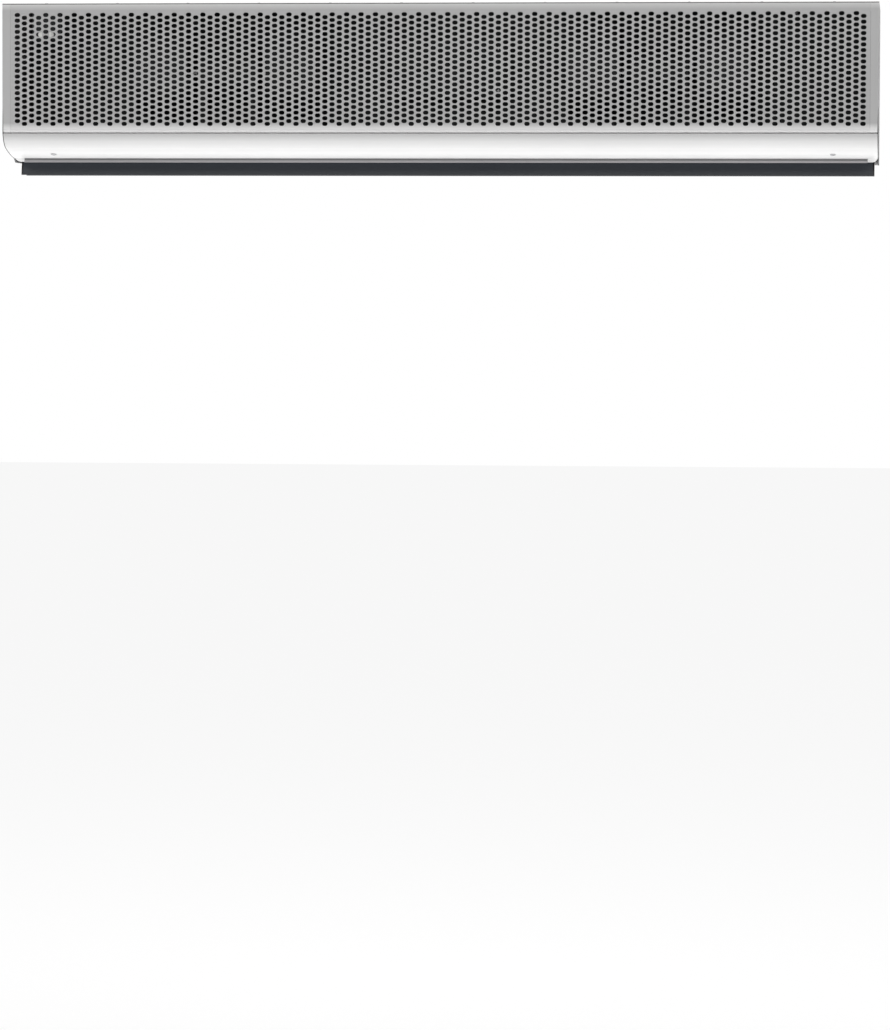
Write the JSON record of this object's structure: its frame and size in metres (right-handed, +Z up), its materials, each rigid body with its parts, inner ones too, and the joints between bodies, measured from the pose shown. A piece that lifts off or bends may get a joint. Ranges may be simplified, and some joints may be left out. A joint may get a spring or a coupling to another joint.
{
  "type": "air curtain",
  "caption": "Wall-hung air curtain: long steel casing with a perforated front, rolled lower panel, centrifugal fans on two motors and adjustable outlet vanes.",
  "frame": {"origin": "on the wall face, in the middle of the wall fixing holes, which is also mid length and mid height of the casing", "axes": "+X along the casing to the right seen from the front, +Y into the wall, +Z up; the perforated front faces -Y"},
  "size_m": [2.23, 0.4016, 0.4513],
  "materials": {
    "casing_silver": "smooth satin silver paint",
    "inside_paint": "dull black paint, inside of the casing",
    "galvanised": "zinc coated sheet, dull",
    "wheel": "dark coated aluminium sheet",
    "shaft": "turned, bright",
    "motor_paint": "semi matt paint",
    "vane_paint": "satin slate paint on an extrusion",
    "black_plastic": "moulded, matt",
    "seal": "foam rubber, matt",
    "terminal": "moulded, matt",
    "capacitor": "smooth plastic can",
    "board": "coated circuit board",
    "lamp": "frosted plastic",
    "screw": "zinc plated"
  },
  "bodies": {
    "casing": {"back_panel": "galvanised", "box_screws": "screw", "cable_gland": "black_plastic", "corner_blocks": "casing_silver", "electrical_box": "inside_paint", "electrical_box_cover": "inside_paint", "end_panel_left": "casing_silver", "end_panel_right": "casing_silver", "fan_deck": "inside_paint", "fascia": "casing_silver", "fascia_brackets": "galvanised", "fascia_screws": "screw", "grille_panel_1": "casing_silver", "grille_panel_2": "casing_silver", "grille_panel_3": "casing_silver", "grille_panel_4": "casing_silver", "grille_panel_5": "casing_silver", "grille_panel_6": "casing_silver", "grille_ribs": "inside_paint", "grille_screws": "screw", "hanging_nuts": "screw", "indicator_lamps": "lamp", "lamp_carrier": "black_plastic", "lower_panel": "casing_silver", "motor_bearings": "shaft", "motor_cradle_left": "inside_paint", "motor_cradle_right": "inside_paint", "motor_left": "motor_paint", "motor_right": "motor_paint", "outlet_rail": "casing_silver", "outlet_spreaders": "inside_paint", "panel_gasket": "seal", "run_capacitors": "capacitor", "scroll_housing_1": "inside_paint", "scroll_housing_2": "inside_paint", "scroll_housing_3": "inside_paint", "scroll_housing_4": "inside_paint", "speed_controller": "board", "terminal_block": "terminal", "top_panel": "casing_silver", "vane_bushes": "black_plastic"},
    "rotor_left": {"drive_shaft_left": "shaft", "impeller_1": "wheel", "impeller_2": "wheel"},
    "rotor_right": {"drive_shaft_right": "shaft", "impeller_3": "wheel", "impeller_4": "wheel"},
    "front_vane": {"vane_front": "vane_paint", "vane_front_caps": "black_plastic"},
    "rear_vane": {"vane_rear": "vane_paint", "vane_rear_caps": "black_plastic"}
  },
  "joints": [
    {"name": "left_motor_spin", "type": "hinge", "parent": "casing", "child": "rotor_left", "pos_m": [-0.557, -0.175, 0.032], "axis": [1, 0, 0], "continuous": true},
    {"name": "right_motor_spin", "type": "hinge", "parent": "casing", "child": "rotor_right", "pos_m": [0.557, -0.175, 0.032], "axis": [1, 0, 0], "continuous": true},
    {"name": "front_vane_tilt", "type": "hinge", "parent": "casing", "child": "front_vane", "pos_m": [0, -0.182, -0.1895], "axis": [1, 0, 0], "range_deg": [0, 40]},
    {"name": "rear_vane_tilt", "type": "hinge", "parent": "casing", "child": "rear_vane", "pos_m": [0, -0.11, -0.1895], "axis": [1, 0, 0], "range_deg": [0, 40]}
  ]
}
